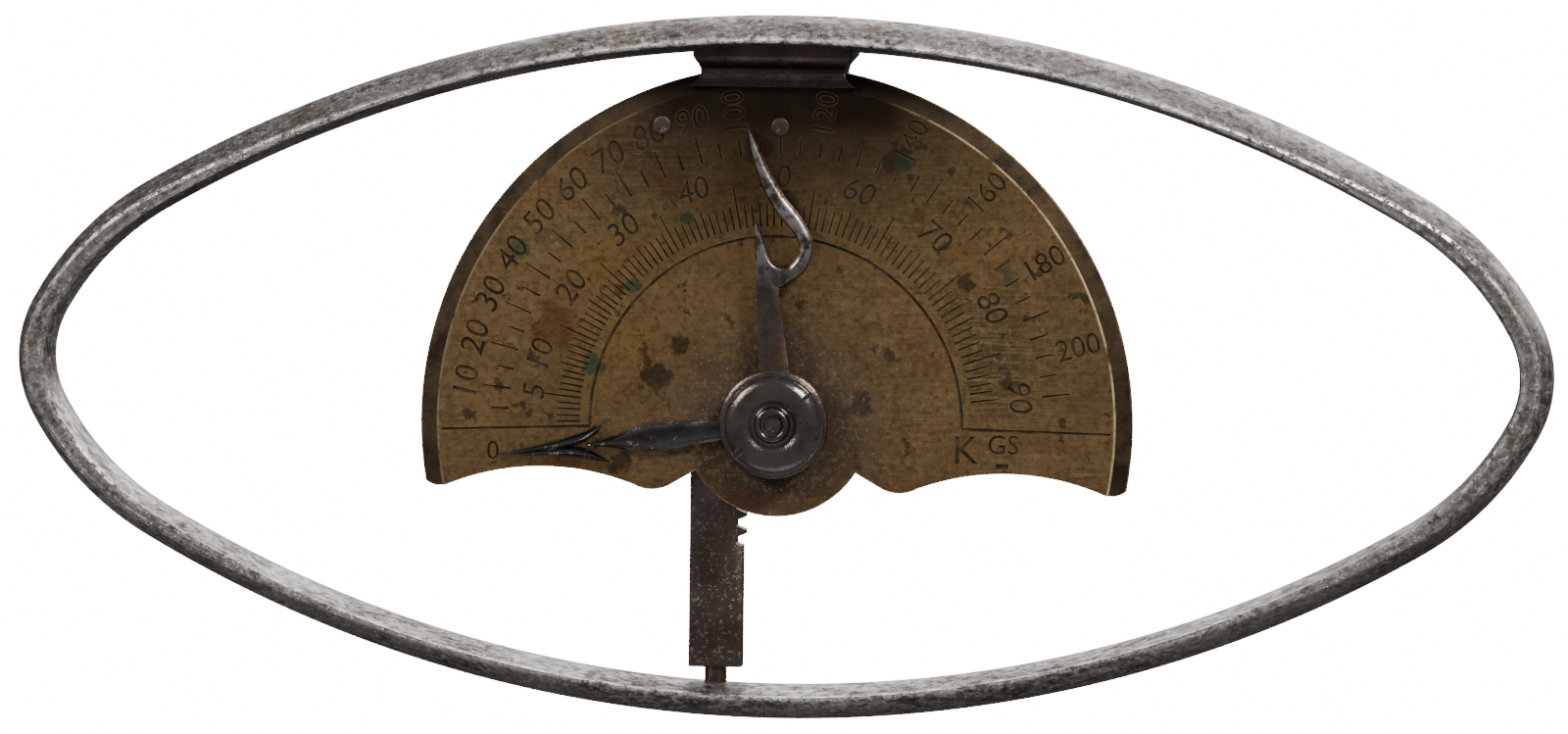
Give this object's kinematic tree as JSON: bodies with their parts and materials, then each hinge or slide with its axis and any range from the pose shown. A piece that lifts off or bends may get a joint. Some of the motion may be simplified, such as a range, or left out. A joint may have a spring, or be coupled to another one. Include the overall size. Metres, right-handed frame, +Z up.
{
  "type": "hand dynamometer with ring spring",
  "caption": "Closed oval spring ring with a fan-shaped brass dial, a rack and pinion behind it, an arrow pointer and a maximum pointer: reads squeeze and pull force.",
  "frame": {"origin": "middle of the spring ring, which is also the middle of the bounding box", "axes": "+X along the ring towards its right end, +Y away from the reader (the dial faces -Y), +Z up from the ring's middle to the arm that carries the dial"},
  "size_m": [0.1252, 0.012, 0.0572],
  "materials": {
    "ring_steel": "pitted spring steel, satin with worn bright edges",
    "foot_black": "blackened, satin",
    "dial_brass": "aged engraved brass, stained",
    "works_brass": "tarnished satin brass",
    "works_steel": "dark oiled steel, speckled",
    "spring_blue": "blued spring steel",
    "pointer_steel": "blue-black steel with bright worn ridges",
    "nut_steel": "dark polished steel"
  },
  "bodies": {
    "root": {"spring_ring": "ring_steel", "dial_foot": "foot_black", "foot_rivets": "ring_steel", "foot_pins": "foot_black", "dial_plate": "dial_brass", "dial_bush": "works_brass", "upper_rack_guide": "works_steel", "upper_guide_rivets": "works_steel", "lower_rack_guide": "works_steel", "lower_guide_screws": "works_steel", "rack_spring": "spring_blue", "rack_spring_screw": "works_steel", "back_bridge": "works_brass", "bridge_pillars": "works_brass", "bridge_screws": "works_steel", "centre_post": "works_steel", "post_nut": "works_steel", "pointer_seat": "works_brass", "friction_washer": "spring_blue", "spanner_nut": "nut_steel"},
    "rack_body": {"rack": "works_steel"},
    "pinion_body": {"pinion": "works_steel", "arrow_collet": "works_brass", "arrow_pointer": "pointer_steel"},
    "maximum_body": {"maximum_pointer": "pointer_steel"}
  },
  "joints": [
    {"name": "squeeze", "type": "slide", "parent": "root", "child": "rack_body", "axis": [0, 0, 1], "range_m": [0, 0.009], "stiffness_N_per_m": 2500, "deforming": ["spring_ring"]},
    {"name": "pinion_spin", "type": "hinge", "parent": "root", "child": "pinion_body", "pos_m": [-0.0004, 0, -0.00445], "axis": [0, 1, 0], "range_deg": [0, 181]},
    {"name": "maximum_turn", "type": "hinge", "parent": "root", "child": "maximum_body", "pos_m": [-0.0004, 0, -0.00445], "axis": [0, 1, 0], "range_deg": [-86, 96]}
  ],
  "couplings": [
    {"joint": "pinion_spin", "follows": "squeeze", "rad_per_m": 350.45}
  ]
}
